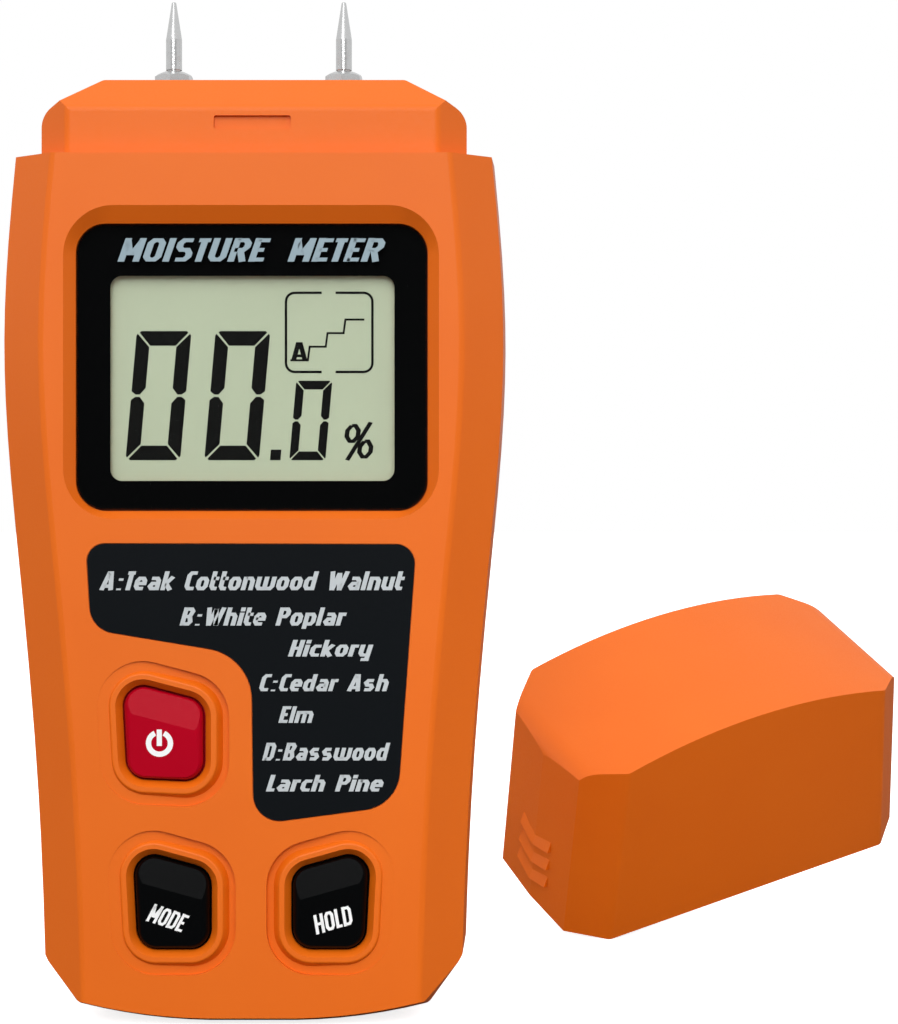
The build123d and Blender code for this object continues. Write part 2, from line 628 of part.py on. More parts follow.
# ---- Battery pieces -----------------------------------------------------------------------------
def battery():
    """A nine-volt block battery with its two snap terminals."""
    width, depth, height = BATTERY_SIZE
    top = BATTERY_BASE_Z + height
    can = block(
        -width / 2, width / 2, BATTERY_MID_Y - depth / 2, BATTERY_MID_Y + depth / 2, BATTERY_BASE_Z, top
    )
    can = fillet(can.edges().filter_by(Axis.Z), 1.8)
    can += rod_z(-TERMINAL_SPACING / 2, BATTERY_MID_Y, 2.9, top - 0.5, top + 2.0)
    cup = rod_z(TERMINAL_SPACING / 2, BATTERY_MID_Y, 3.9, top - 0.5, top + 2.0)
    cup -= rod_z(TERMINAL_SPACING / 2, BATTERY_MID_Y, 3.1, top + 0.3, top + 3)
    return can + cup


def battery_snap():
    """The snap connector on top of the battery."""
    top = BATTERY_BASE_Z + BATTERY_SIZE[2]
    low, high = top + 0.15, top + 4.4
    snap = block(-12.6, 12.6, BATTERY_MID_Y - 6, BATTERY_MID_Y + 6, low, high)
    snap = fillet(snap.edges().filter_by(Axis.Z), 3.0)
    return snap - both_sides(lambda s: rod_z(s * TERMINAL_SPACING / 2, BATTERY_MID_Y, 4.1, low - 1, top + 2.4))


def battery_lead(side):
    """One of the two wires from the snap connector to the board."""
    x, y = side * 3.5, BATTERY_MID_Y
    start = BATTERY_BASE_Z + BATTERY_SIZE[2] + 4.4
    return wire(((x, y, start), (x, y, 74.5), (x, BOARD_BACK_Y, 74.5)), 3.0, 0.7)


# ---- Screws -------------------------------------------------------------------------------------
def screw(x, z, seat_y, tip_y, radius, head_radius, head_thick):
    """A pan-head screw driven in from the back, with a cross recess."""
    top = seat_y + head_thick
    body = rod_y(x, z, radius, tip_y, seat_y + 0.2)
    head = rod_y(x, z, head_radius, seat_y, top)
    head = fillet(edges_at(head, "Y", (top,)), 0.3 * head_thick)
    low, long, narrow = top - 0.6 * head_thick, 0.55 * head_radius, 0.12 * head_radius
    cross = block(x - long, x + long, low, top + 1, z - narrow, z + narrow)
    cross += block(x - narrow, x + narrow, low, top + 1, z - long, z + long)
    return body + head - cross


def case_screws():
    """The four screws that hold the shells together."""
    return Compound([
        screw(side * x, z, SCREW_SEAT_Y, SCREW_TIP_Y, SCREW_RADIUS, SCREW_HEAD_RADIUS, SCREW_HEAD_THICK)
        for x, z in CASE_SCREWS for side in (-1, 1)
    ])


def board_screws():
    """The three screws that hold the board."""
    return Compound([
        screw(x, z, BOARD_BACK_Y, BOARD_FRONT_Y - 3.5, 0.9, 1.6, 0.8) for x, z in BOARD_SCREWS
    ])


# ---- Cap ----------------------------------------------------------------------------------------
def cap_form(inset):
    """The cap's outer form on its own mouth, shrunk by inset on every side but the mouth."""
    reach = HALF_DEPTH - inset
    low = -3.0 if inset else 0.0
    crown = CAP_HEIGHT - inset
    end_z = CAP_CROWN_END_Z - inset
    end_x = CAP_TOP_HALF_WIDTH - inset
    lean = (CAP_HALF_WIDTH - CAP_TOP_HALF_WIDTH) / CAP_CROWN_END_Z

    def side(y):
        draft = SIDE_DRAFT * abs(y) / HALF_DEPTH
        foot_x = end_x + lean * (end_z - low) - draft
        top_x = end_x - lean * 8 - draft
        return make_face(Polyline(
            (-foot_x, y, low), (foot_x, y, low), (top_x, y, end_z + 8), (-top_x, y, end_z + 8), close=True
        ))

    form = loft([side(-reach), side(0)], ruled=True) + loft([side(0), side(reach)], ruled=True)
    size = CASE_CHAMFER - 0.586 * inset
    tall = [e for e in edges_at(form, "Y", (-reach, reach), 20) if abs(e.center().X) > 20]
    form = chamfer(tall, size)
    if not inset:
        tall = [e for e in edges_at(form, "Y", (-reach, reach), 20) if abs(e.center().X) > 20]
        form = fillet(tall, CREASE_ROUND)
    # The crown arches from end to end and runs round into the ends.
    rise = crown - end_z
    hub_z = crown - (end_x ** 2 + rise ** 2) / (2 * rise)
    arch = make_face([
        Line((-45, 0, low - 1), (45, 0, low - 1)),
        Line((45, 0, low - 1), (45, 0, low)),
        Line((45, 0, low), (end_x + lean * (end_z - low), 0, low)),
        Line((end_x + lean * (end_z - low), 0, low), (end_x, 0, end_z)),
        ThreePointArc((end_x, 0, end_z), (0, 0, crown), (-end_x, 0, end_z)),
        Line((-end_x, 0, end_z), (-end_x - lean * (end_z - low), 0, low)),
        Line((-end_x - lean * (end_z - low), 0, low), (-45, 0, low)),
        Line((-45, 0, low), (-45, 0, low - 1)),
    ])
    shoulders = [v for v in arch.vertices() if abs(v.Z - end_z) < 0.01]
    arch = fillet(shoulders, max(CAP_END_ROUND - inset, 1.0))
    # The long bevels follow the same arch, so they are turned about its centre.
    strip = CAP_CROWN_HALF - 0.35 * inset
    drum = revolve(make_face(FilletPolyline(
        (0, -reach, hub_z), (0, -reach, crown - CAP_BEVEL_DROP), (0, -strip, crown),
        (0, strip, crown), (0, reach, crown - CAP_BEVEL_DROP), (0, reach, hub_z),
        radius=[0.5, 2.6, 2.6, 2.6, 2.6, 0.5], close=True,
    )), Axis((0, 0, hub_z), (0, 1, 0)))
    return form & drum & prism(arch, -reach - 1, reach + 1)


def grip_ribs(side):
    """The dipped grip ribs on one end of the cap, each a raised bar with a sloping top."""
    ribs = None
    for i in range(RIB_COUNT):
        z = RIB_FIRST_Z + RIB_PITCH * i
        lean = (CAP_HALF_WIDTH - CAP_TOP_HALF_WIDTH) / CAP_CROWN_END_Z
        for half in (-1, 1):
            wall_x = CAP_HALF_WIDTH - lean * z
            y1 = half * RIB_HALF_LENGTH
            bar = make_face(Polyline(
                (wall_x - 1.2, 0, z - RIB_DIP), (wall_x + RIB_PROUD, 0, z - RIB_DIP),
                (wall_x - 0.1, 0, z - RIB_DIP + RIB_HEIGHT), (wall_x - 1.2, 0, z - RIB_DIP + RIB_HEIGHT), close=True
            ))
            draft = SIDE_DRAFT * RIB_HALF_LENGTH / HALF_DEPTH
            tip = Pos(-draft, y1, RIB_DIP) * bar
            piece = loft([bar, tip], ruled=True)
            ribs = piece if ribs is None else ribs + piece
    return mirror(ribs, about=Plane.YZ) if side < 0 else ribs


def cap_catch():
    """The bump inside the cap that drops into the recess on the head."""
    z = CATCH_Z - SHOULDER_Z
    inner = -HALF_DEPTH + CAP_WALL
    return prism(rounded(CATCH_SIZE[0] - 1, CATCH_SIZE[1] - 0.6, z, 0.3), inner - 0.3, inner + 0.6)


def pin_cap():
    """The cap, off the head and leaning forward on one corner of its mouth."""
    cap = cap_form(0) - cap_form(CAP_WALL)
    cap += grip_ribs(-1)
    cap += grip_ribs(1)
    cap += cap_catch()
    cap = Rot(CAP_TIP, 0, 0) * Rot(0, 0, CAP_TURN) * cap
    return Pos(*CAP_PLACE, -cap.bounding_box().min.Z) * cap


# ---- Write every sub-part -----------------------------------------------------------------------
def main():
    case = hollow_case()
    write("front_shell", front_shell(case))
    write("back_shell", back_shell(case))
    write("battery_door", battery_door())
    write("pin_cap", pin_cap())
    write("display_lens", display_lens())
    write("lens_gasket", lens_gasket())
    write("lcd_panel", lcd_panel())
    write("lcd_holder", lcd_holder())
    write("lcd_contact_strips", contact_strips())
    label = prism(flat(LABEL_CORNERS, LABEL_ROUNDS), -HALF_DEPTH, -HALF_DEPTH + LABEL_THICK)
    write("species_label", label)
    write("main_board", main_board())
    write("controller_chip", controller_chip())
    write("signal_chip", signal_chip())
    write("crystal", on_board(-5, 94.3, 8, 3.2, 2.6))
    write("chip_resistors", chip_resistors())
    write("chip_capacitors", chip_capacitors())
    write("reservoir_capacitor", reservoir_capacitor())
    for name in KEYS:
        write(f"{name}_key", key_cap(name))
        write(f"{name}_switch", switch_body(name))
        write(f"{name}_plunger", switch_plunger(name))
    for side, word in ((-1, "left"), (1, "right")):
        write(f"{word}_pin", probe_pin(side))
        write(f"{word}_pin_nut", pin_collar(side))
        write(f"{word}_socket", pin_socket(side))
        write(f"{word}_pin_lead", pin_lead(side))
        write(f"{word}_battery_lead", battery_lead(side))
    write("battery", battery())
    write("battery_snap", battery_snap())
    write("case_screws", case_screws())
    write("board_screws", board_screws())


main()
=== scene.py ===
# %% [markdown]
# # A two-pin moisture meter, standing on its end, with its loose cap beside it
#
# The solid parts of the meter come ready made as a fixed frame, in metres. +Z runs up the case towards
# the pins and -Y points out of the display face. This script gives every part its finish, adds the
# printing that a solid can't show, such as the segments of the display, and lights the whole.

# %% Load the frame
import math

import bmesh
import bpy
from mathutils import Matrix, Vector
from mathutils.bvhtree import BVHTree


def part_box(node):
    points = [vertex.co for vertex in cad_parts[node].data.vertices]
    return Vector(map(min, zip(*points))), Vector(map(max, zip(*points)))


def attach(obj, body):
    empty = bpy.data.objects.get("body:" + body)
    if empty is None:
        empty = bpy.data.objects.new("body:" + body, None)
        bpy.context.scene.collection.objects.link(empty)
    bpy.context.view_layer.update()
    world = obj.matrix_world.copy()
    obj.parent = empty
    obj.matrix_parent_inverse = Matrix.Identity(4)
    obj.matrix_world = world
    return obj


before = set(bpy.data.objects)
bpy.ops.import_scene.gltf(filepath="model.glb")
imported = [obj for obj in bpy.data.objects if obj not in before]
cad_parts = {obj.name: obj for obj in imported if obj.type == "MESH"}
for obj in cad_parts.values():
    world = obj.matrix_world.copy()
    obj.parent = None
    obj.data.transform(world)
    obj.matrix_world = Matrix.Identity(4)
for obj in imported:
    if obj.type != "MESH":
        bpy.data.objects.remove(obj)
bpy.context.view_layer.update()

MM = 0.001

# %% [markdown]
# ## Two helpers for materials
#
# A colour is easiest to read as the hex value that a paint or plastic sample would be given, but
# Blender's shaders work in linear light. One function turns the first into the second. Another adds a
# node, with its settings and its links, so that each material below reads as a list of what it is made
# of.


# %% Colours and nodes
def colour(code, alpha=1.0):
    """An sRGB hex colour as Blender's linear red, green, blue and alpha."""
    channels = [int(code[i:i + 2], 16) / 255 for i in (1, 3, 5)]
    linear = [c / 12.92 if c <= 0.04045 else ((c + 0.055) / 1.055) ** 2.4 for c in channels]
    return (*linear, alpha)


def node(tree, kind, links=None, **settings):
    """Adds a node. A setting is a property or, if it has none of that name, an input. Links feed inputs."""
    made = tree.nodes.new(kind)
    for key, value in settings.items():
        if hasattr(made, key):
            setattr(made, key, value)
        else:
            made.inputs[key.replace("_", " ")].default_value = value
    for key, source in (links or {}).items():
        tree.links.new(source, made.inputs[key])
    return made


def material(name):
    """An empty material: its tree, its output node and the material itself."""
    made = bpy.data.materials.new(name)
    made.use_nodes = True
    made.node_tree.nodes.clear()
    output = made.node_tree.nodes.new("ShaderNodeOutputMaterial")
    return made, made.node_tree, output


print("one bright orange in linear light:", [round(c, 3) for c in colour("#E96A1E")])

# %% [markdown]
# ## Moulded ABS for the case
#
# The case, the cap and the battery door are injection-moulded ABS, coloured right through. The mould is
# spark-eroded, which leaves a fine, even pebble on the plastic: it breaks up highlights and makes them
# broad and soft. A noise about a third of a millimetre across is that pebble, drawn a little coarser
# than the real one so that it shows. A slow second noise is the faint unevenness of colour in the
# moulding.


# %% ABS and other moulded plastics
PLASTIC_IOR = 1.53
PEBBLE_HEIGHT = 0.02       # mm
GLOSS_SPREAD = 0.05        # how far the pebble moves the roughness, up and down


def moulded(name, base, shade, roughness, pebble_mm=0.3, pebble_depth=0.3, specular=0.5, patch_mm=14.0):
    """A plastic with a pebbled surface: base varies slowly to shade, and the pebble varies the gloss."""
    made, tree, output = material(name)
    place = node(tree, "ShaderNodeTexCoord")
    where = {"Vector": place.outputs["Object"]}
    patches = node(tree, "ShaderNodeTexNoise", where, Scale=1 / (patch_mm * MM), Detail=3.0)
    tint = node(tree, "ShaderNodeMix", {"Factor": patches.outputs["Fac"]}, data_type="RGBA")
    tint.inputs[6].default_value = colour(base)
    tint.inputs[7].default_value = colour(shade)
    pebble = node(tree, "ShaderNodeTexNoise", where, Scale=1 / (pebble_mm * MM), Detail=2.0)
    gloss = node(
        tree, "ShaderNodeMapRange", {"Value": pebble.outputs["Fac"]},
        From_Min=0.3, From_Max=0.7, To_Min=roughness - GLOSS_SPREAD, To_Max=roughness + GLOSS_SPREAD,
    )
    bump = node(tree, "ShaderNodeBump", {"Height": pebble.outputs["Fac"]},
                Strength=pebble_depth, Distance=PEBBLE_HEIGHT * MM)
    sources = {"Base Color": tint.outputs[2], "Roughness": gloss.outputs["Result"],
               "Normal": bump.outputs["Normal"]}
    plastic = node(tree, "ShaderNodeBsdfPrincipled", sources, IOR=PLASTIC_IOR)
    plastic.inputs["Specular IOR Level"].default_value = specular
    tree.links.new(plastic.outputs["BSDF"], output.inputs["Surface"])
    return made


orange_abs = moulded("orange ABS, spark-eroded", "#E46B0C", "#E06508", 0.46, specular=0.35)
print("materials:", orange_abs.name)

# %% [markdown]
# ## The other plastics, the rubber and the board
#
# The keys are smooth moulded plastic with a slight gloss, in red and in black. The label is a printed
# polyester film with a fine matt texture. The rest of the plastics are inside the case, where only an
# open battery door shows them, and they take the same recipe with their own colours and gloss.

# %% Plastics inside and outside
red_key = moulded("red key plastic, semi-gloss", "#B4001F", "#A5001B", 0.36, pebble_depth=0.1, specular=0.08)
black_key = moulded(
    "black key plastic, semi-gloss", "#030405", "#020304", 0.36, pebble_depth=0.1, specular=0.07,
)
film = moulded(
    "matt polyester film", "#070C10", "#060A0E", 0.52, pebble_mm=0.22, pebble_depth=0.5, specular=0.1,
)
black_frame = moulded("black moulded plastic, satin", "#141415", "#101011", 0.5)
black_print = moulded("black screen print, matt", "#020304", "#030405", 0.5, pebble_depth=0.0, specular=0.05)
rubber = moulded("black silicone rubber", "#1C1C1C", "#171717", 0.7)
board_green = moulded("solder mask over fibreglass board", "#14602B", "#0F5023", 0.35, patch_mm=6.0)
epoxy = moulded("chip moulding epoxy", "#1B1B1D", "#161617", 0.6)
ceramic = moulded("fired ceramic", "#9A7B52", "#8B6D46", 0.5)
sleeve_blue = moulded("shrunk blue sleeve", "#1C2F6B", "#17285C", 0.35)
wire_red = moulded("red wire insulation", "#A01515", "#8C1010", 0.45)
wire_black = moulded("black wire insulation", "#181818", "#141414", 0.45)
jacket = moulded("printed battery jacket", "#2B3542", "#222B37", 0.38)
print("plastics:", len(bpy.data.materials))

# %% [markdown]
# ## Metals
#
# The needles and their nuts are nickel-plated steel. They were turned on a lathe, which leaves very
# fine rings round the axis, so their bump is a wave along Z. The real rings are finer than the eye can
# part, so these are drawn coarser. The sockets are turned brass, and the screws are zinc-plated steel.


# %% Turned metal
RING_PITCH = 0.75          # mm
RING_HEIGHT = 0.01         # mm
WAVE_RATE = 20 / (2 * math.pi)  # bands in one unit of a wave texture whose scale is one


def turned(name, base, roughness, ring_depth=0.15):
    """A metal with fine turning rings round Z."""
    made, tree, output = material(name)
    place = node(tree, "ShaderNodeTexCoord")
    rings = node(
        tree, "ShaderNodeTexWave", {"Vector": place.outputs["Object"]},
        wave_type="BANDS", bands_direction="Z", Scale=1 / (RING_PITCH * MM * WAVE_RATE), Distortion=0.4,
    )
    smudge = node(tree, "ShaderNodeTexNoise", {"Vector": place.outputs["Object"]}, Scale=900.0, Detail=3.0)
    gloss = node(
        tree, "ShaderNodeMapRange", {"Value": smudge.outputs["Fac"]},
        From_Min=0.3, From_Max=0.7, To_Min=roughness * 0.7, To_Max=roughness * 1.4,
    )
    bump = node(tree, "ShaderNodeBump", {"Height": rings.outputs["Fac"]},
                Strength=ring_depth, Distance=RING_HEIGHT * MM)
    metal = node(
        tree, "ShaderNodeBsdfPrincipled",
        {"Roughness": gloss.outputs["Result"], "Normal": bump.outputs["Normal"]},
        Base_Color=colour(base), Metallic=1.0,
    )
    tree.links.new(metal.outputs["BSDF"], output.inputs["Surface"])
    return made


plated_steel = turned("nickel-plated steel, turned", "#D9DADA", 0.24)
zinc_steel = turned("zinc-plated steel", "#B9BBBD", 0.3)
brass = turned("turned brass", "#C9A24A", 0.25)
can_metal = turned("drawn nickel can", "#C4C4C0", 0.3, ring_depth=0.0)
print("metals:", [m.name for m in (plated_steel, zinc_steel, brass, can_metal)])

# %% [markdown]
# ## Acrylic window and display glass
#
# The window is clear acrylic. In a renderer, light from lamps can't find its way through refracting
# glass, so what lies behind would stay dark: for shadow rays only, the window is simply see-through.
# The liquid-crystal panel behind it is glass over a pale green-grey reflector, satin rather than
# glossy.

# %% Clear acrylic, and the panel
ACRYLIC_IOR = 1.49
acrylic, tree, output = material("clear acrylic window")
shadow_ray = node(tree, "ShaderNodeLightPath")
open_way = node(tree, "ShaderNodeBsdfTransparent")
solid_way = node(
    tree, "ShaderNodeBsdfPrincipled", Base_Color=colour("#FFFFFF"), Roughness=0.02, IOR=ACRYLIC_IOR,
)
solid_way.inputs["Transmission Weight"].default_value = 1.0
both = node(
    tree, "ShaderNodeMixShader",
    {0: shadow_ray.outputs["Is Shadow Ray"], 1: solid_way.outputs["BSDF"], 2: open_way.outputs["BSDF"]},
)
tree.links.new(both.outputs["Shader"], output.inputs["Surface"])
lcd_pale = moulded(
    "liquid-crystal panel, reflective", "#C2CEB0", "#BECAAC", 0.42, pebble_depth=0.05, patch_mm=9.0,
)
lcd_ink = moulded("liquid-crystal segment, dark", "#050605", "#070806", 0.45, pebble_depth=0.0, specular=0.1)
print("window and panel ready")

# %% [markdown]
# ## Giving the solid parts their finish
#
# Each solid keeps its shape and takes one material. A table of finish to part names is easier to check
# than a long list of single lines. Anything left out of the table would show up in the last printed
# line.


# %% Finishes of the solid parts
finishes = {
    orange_abs: ["front_shell", "back_shell", "battery_door", "pin_cap"],
    red_key: ["power_key"],
    black_key: ["mode_key", "hold_key"],
    film: ["species_label"],
    black_print: ["lens_gasket"],
    black_frame: ["lcd_holder", "battery_snap", "power_switch", "mode_switch", "hold_switch",
                  "power_plunger", "mode_plunger", "hold_plunger"],
    acrylic: ["display_lens"],
    lcd_pale: ["lcd_panel"],
    rubber: ["lcd_contact_strips"],
    board_green: ["main_board"],
    epoxy: ["controller_chip", "signal_chip", "chip_resistors"],
    ceramic: ["chip_capacitors"],
    sleeve_blue: ["reservoir_capacitor"],
    can_metal: ["crystal"],
    wire_red: ["left_pin_lead", "left_battery_lead"],
    wire_black: ["right_pin_lead", "right_battery_lead"],
    jacket: ["battery"],
    plated_steel: ["left_pin", "right_pin", "left_pin_nut", "right_pin_nut"],
    brass: ["left_socket", "right_socket"],
    zinc_steel: ["case_screws", "board_screws"],
}
for finish, names in finishes.items():
    for name in names:
        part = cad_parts[name]
        part.data.materials.clear()
        part.data.materials.append(finish)
unfinished = set(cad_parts) - {name for names in finishes.values() for name in names}
print("parts without a finish:", sorted(unfinished))

# %% [markdown]
# ## Ink that follows what it is printed on
#
# The printing on the label, the keys and the window is ink a few hundredths of a millimetre thick.
# Every shape starts as an outline in millimetres, as it looks from the front. Each corner is then
# pushed back until it meets the part that carries the ink, so the same helper prints on a flat label
# and on the sloping face of a key.


# %% Plates of ink
INK = 0.03                 # thickness of ink, mm
SUNK = 0.01                # how far its back lies below the surface that carries it, mm
TIGHTEST = 0.55            # a mitre at a sharper corner than this is cut short


def surface(part):
    """A function that gives the depth of a part's front, in millimetres, behind any (x, z)."""
    tree = BVHTree.FromObject(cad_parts[part], bpy.context.evaluated_depsgraph_get())

    def depth(x, z):
        hit = tree.ray_cast(Vector((x * MM, -1.0, z * MM)), Vector((0.0, 1.0, 0.0)))[0]
        return hit.y / MM

    return depth


def slab(bm, outline, depth, thick=INK):
    """Adds a thin closed plate with this outline of (x, z) points, lying on a surface and facing -Y."""
    area = sum(a[0] * b[1] - b[0] * a[1] for a, b in zip(outline, outline[1:] + outline[:1]))
    points = outline if area > 0 else outline[::-1]
    depths = [depth(x, z) for x, z in points]
    front = [bm.verts.new((x * MM, (y - thick) * MM, z * MM)) for (x, z), y in zip(points, depths)]
    back = [bm.verts.new((x * MM, (y + SUNK) * MM, z * MM)) for (x, z), y in zip(points, depths)]
    bm.faces.new(front)
    bm.faces.new(back[::-1])
    for i in range(len(points)):
        j = (i + 1) % len(points)
        bm.faces.new((front[j], front[i], back[i], back[j]))


def ribbon(path, width):
    """The runs of a line of even width along (x, z) points, as four-cornered outlines with mitred joints."""
    left, right = [], []
    for i, here in enumerate(path):
        before = (Vector(here) - Vector(path[i - 1])).normalized() if i else None
        after = (Vector(path[i + 1]) - Vector(here)).normalized() if i + 1 < len(path) else None
        a, b = before or after, after or before
        across = Vector((-(a.y + b.y), a.x + b.x)).normalized()
        reach = width / 2 / max(across.dot(Vector((-a.y, a.x))), TIGHTEST)
        left.append(tuple(Vector(here) + across * reach))
        right.append(tuple(Vector(here) - across * reach))
    return [[left[i], left[i + 1], right[i + 1], right[i]] for i in range(len(path) - 1)]


def arc(x, z, radius, start, end, steps=8):
    """Points on a circle from start to end, in degrees."""
    angles = [math.radians(start + (end - start) * i / steps) for i in range(steps + 1)]
    return [(x + radius * math.cos(a), z + radius * math.sin(a)) for a in angles]


def piece(name, mesh, finish, body):
    """Links a mesh as a piece of the object that moves with a body."""
    made = bpy.data.objects.new(name, mesh)
    bpy.context.collection.objects.link(made)
    mesh.materials.clear()
    mesh.materials.append(finish)
    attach(made, body)
    return made


def printed(name, outlines, part, finish, body):
    """Prints flat outlines on the front of a part."""
    bm = bmesh.new()
    depth = surface(part)
    for outline in outlines:
        slab(bm, outline, depth)
    mesh = bpy.data.meshes.new(name)
    bm.to_mesh(mesh)
    bm.free()
    return piece(name, mesh, finish, body)


print("the label lies at", round(surface("species_label")(10, 40), 2), "mm")

# %% [markdown]
# ## An alphabet of strokes
#
# The lettering is a heavy, square-shouldered italic. Each letter is a few strokes on a grid: a digit is
# the place across and a letter is the height, so "0T 0b" is a stem from the top of the capitals to the
# baseline. The strokes get their width on the grid, and only then is the line of text stretched to the
# rectangle that it fills, which makes the stems heavier than the bars, as they are in a bold type.
# Where two strokes meet at a sharp angle, as in a W, they are separate strokes with square ends,
# because a mitre there would be a long spike.

# %% Letters
ACROSS = 0.4               # one place across, in widths of a stroke
HEIGHTS = {
    "d": -1.0, "b": 0.0, "s": 0.5, "l": 1.2, "m": 2.0, "u": 2.8,
    "x": 3.5, "X": 4.0, "K": 4.4, "C": 5.1, "T": 5.6,
}
HAIR_SPACE = 0.35          # in widths of a stroke
LETTERS = {
    "A": "0b2C3C5b 1l4l", "B": "0T0b 0C3C4K3u0u 3u4l3s0s", "C": "4C1C0K0l1s4s", "D": "0T0b 0C3C4K4l3s0s",
    "E": "0T0b 0C4C 0u3u 0s4s", "H": "0T0b 4T4b 0u4u", "I": "0T0b", "L": "0T0s3s", "M": "0b0T 5b5T 0C2m3m5C",
    "O": "2C3C4K4l3s1s0l0K1C2C", "P": "0T0b 0C3C4K4x3u0u", "R": "0T0b 0C3C4K4x3u0u 2u4b",
    "S": "4C1C0K0x1u3u4m4l3s0s", "T": "0C4C 2C2b", "U": "0T0l1s3s4l4T", "W": "0T2b 2b4C 4C6b 6b8T",
    "a": "0x3x4u4b 4m1m0l1s4s", "c": "4x1x0u0l1s4s", "d": "4T4b 4x1x0u0l1s4s", "e": "0m4m4u3x1x0u0l1s4s",
    "h": "0T0b 0x3x4u4b", "i": "0X0b 0K0T", "k": "0T0b 4X1m 1m4b", "l": "0T0b", "m": "0X0b 0x7x8u8b 4x4b",
    "n": "0X0b 0x3x4u4b", "o": "2x3x4u4l3s1s0l0u1x2x", "p": "0X0d 0x3x4u4l3s0s", "r": "0X0b 0x3x",
    "s": "4x1x0u1m3m4l3s0s", "t": "0T0l1s3s 0x3x", "u": "0X0l1s4s 4X4b", "w": "0X0l1s7s8l8X 4X4s",
    "y": "0X0l1s4s 4X4d1d", ":": "0b0s 0u0x", "%": "1C0K0x1u2u3x3K2C1C 5u4m4l5s6s7l7m6u5u 6T1b",
}


def lettering(text, box, weight=1.0, lean=0.2, gap=0.34, word=2.2, turn=0.0):
    """Outlines of a line of text whose capitals fill box = (x0, x1, z0, z1).

    Turn is in degrees, about the middle of the box. A bar in the text is a hair space.
    """
    runs, pen = [], 0.0
    for letter in text:
        if letter in " |":
            pen += word if letter == " " else HAIR_SPACE
            continue
        strokes = []
        for line in LETTERS[letter].split():
            path = [(int(line[i]) * ACROSS, HEIGHTS[line[i + 1]]) for i in range(0, len(line), 2)]
            strokes += ribbon(path, weight)
        edges = [x for run in strokes for x, _ in run]
        runs += [[(pen + x - min(edges), z) for x, z in run] for run in strokes]
        pen += max(edges) - min(edges) + gap
    runs = [[(x + lean * z, z) for x, z in run] for run in runs]
    low, high = min(x for run in runs for x, _ in run), max(x for run in runs for x, _ in run)
    x0, x1, z0, z1 = box
    wide, tall = (x1 - x0) / (high - low), (z1 - z0) / HEIGHTS["T"]
    middle = Vector(((x0 + x1) / 2, (z0 + z1) / 2))
    spin = Matrix.Rotation(math.radians(turn), 2)
    return [[tuple(middle + spin @ (Vector((x0 + (x - low) * wide, z0 + z * tall)) - middle)) for x, z in run]
            for run in runs]


print("letters:", "".join(LETTERS))

# %% [markdown]
# ## Title and label
#
# The title is printed on the window. The label lists kinds of wood under the four letters that the mode
# key steps through. The lines step round the power key, so each has a rectangle of its own: its left
# and right edges, and the height of its capitals.


# %% Title and label lines
def ink(name, code, roughness=0.5):
    """Printing ink of one colour."""
    return moulded(name, code, code, roughness, pebble_depth=0.0, specular=0.2)


label_ink = ink("grey-white label ink", "#BCC2C5")
key_ink = ink("white key ink", "#F4F5F5")
silver_ink = ink("silver title ink", "#8FA3AD", 0.35)
title = lettering("MOISTURE METER", (-18.3, 18.2, 103.9, 107.1), 0.9, word=3.0)
printed("title_print", title, "display_lens", silver_ink, "case")
label_lines = {
    "a": ("A|:|Teak Cottonwood Walnut", (-20.6, 20.9, 59.2, 61.75)),
    "b": ("B|:|White Poplar", (-9.7, 13.0, 54.4, 56.85)),
    "b2": ("Hickory", (5.0, 16.6, 50.2, 52.45)),
    "c": ("C|:|Cedar Ash", (1.1, 18.7, 45.5, 47.8)),
    "c2": ("Elm", (3.7, 8.5, 41.2, 43.45)),
    "d": ("D|:|Basswood", (1.5, 18.9, 36.1, 38.5)),
    "d2": ("Larch Pine", (2.0, 18.0, 31.9, 34.15)),
}
for key, (text, box) in label_lines.items():
    printed("label_line_" + key, lettering(text, box, 1.0), "species_label", label_ink, "case")
print("label lines:", len(label_lines))

# %% [markdown]
# ## Geometry Nodes for what repeats
#
# A zero on a seven-segment display is one quarter, mirrored twice: left to right, and bottom to top.
# The tree below does that to whatever plates it is given, and then leans the figure over. Its width,
# height and lean are inputs, so one tree makes the large figures and the small one. A second tree
# repeats a piece in a straight row. Both end by realising what they made and giving it its material, so
# the result is an ordinary mesh.


# %% Trees that mirror and repeat
def tree_with(name, inputs):
    """An empty Geometry Nodes tree with a geometry input and output, and the named inputs after them."""
    tree = bpy.data.node_groups.new(name, "GeometryNodeTree")
    tree.interface.new_socket("Geometry", in_out="INPUT", socket_type="NodeSocketGeometry")
    tree.interface.new_socket("Geometry", in_out="OUTPUT", socket_type="NodeSocketGeometry")
    for label, kind in inputs.items():
        tree.interface.new_socket(label, in_out="INPUT", socket_type=kind)
    return tree, tree.nodes.new("NodeGroupInput"), tree.nodes.new("NodeGroupOutput")


def finish_tree(tree, group, output, geometry):
    """Ends a tree: instances become mesh and take the material."""
    real = node(tree, "GeometryNodeRealizeInstances", {"Geometry": geometry})
    dressed = node(tree, "GeometryNodeSetMaterial",
                   {"Geometry": real.outputs["Geometry"], "Material": group.outputs["Material"]})
    tree.links.new(dressed.outputs["Geometry"], output.inputs["Geometry"])
    return tree


